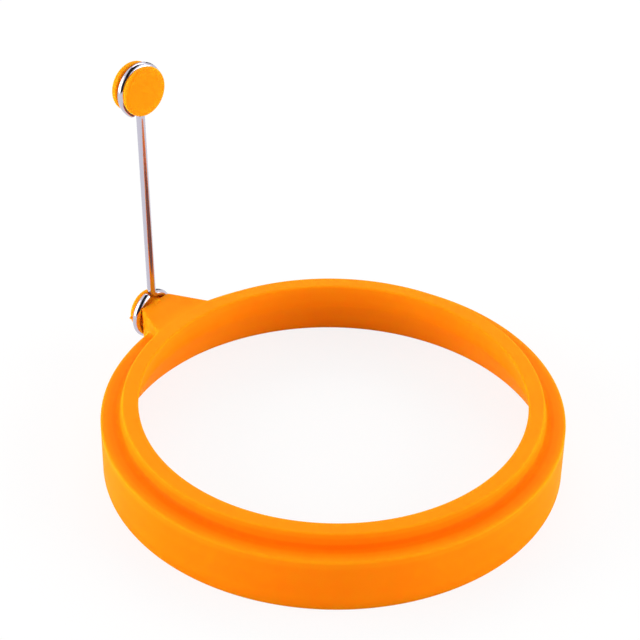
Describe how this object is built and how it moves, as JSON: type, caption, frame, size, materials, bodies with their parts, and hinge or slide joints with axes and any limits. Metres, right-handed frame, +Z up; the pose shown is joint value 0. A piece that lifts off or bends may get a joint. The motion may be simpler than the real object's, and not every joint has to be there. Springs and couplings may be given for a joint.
{
  "type": "egg ring",
  "caption": "Round silicone mould ring for frying eggs, with a stepped rim, a fold-down wire handle pivoting on a moulded boss and a grooved knob at its top.",
  "frame": {"origin": "on the surface that the ring stands on, under the middle of the whole object's box", "axes": "+Z up, out of the ring's opening; +X from the ring's centre towards the tab, boss and handle; +Y completes the right-handed frame"},
  "size_m": [0.1142, 0.105, 0.0784],
  "materials": {
    "orange_silicone": "smooth satin moulded silicone, bright orange",
    "polished_steel": "polished stainless steel wire"
  },
  "bodies": {
    "ring": {"egg_ring": "orange_silicone"},
    "handle": {"wire_handle": "polished_steel"},
    "knob": {"knob": "orange_silicone"}
  },
  "joints": [
    {"name": "handle_swing", "type": "hinge", "parent": "ring", "child": "handle", "pos_m": [0.05257, 0, 0.0133], "axis": [1, 0, 0], "range_deg": [-90, 90]},
    {"name": "knob_spin", "type": "hinge", "parent": "handle", "child": "knob", "pos_m": [0.05398, -0.00078, 0.07229], "axis": [0.997, -0.0697, -0.0349], "continuous": true}
  ]
}
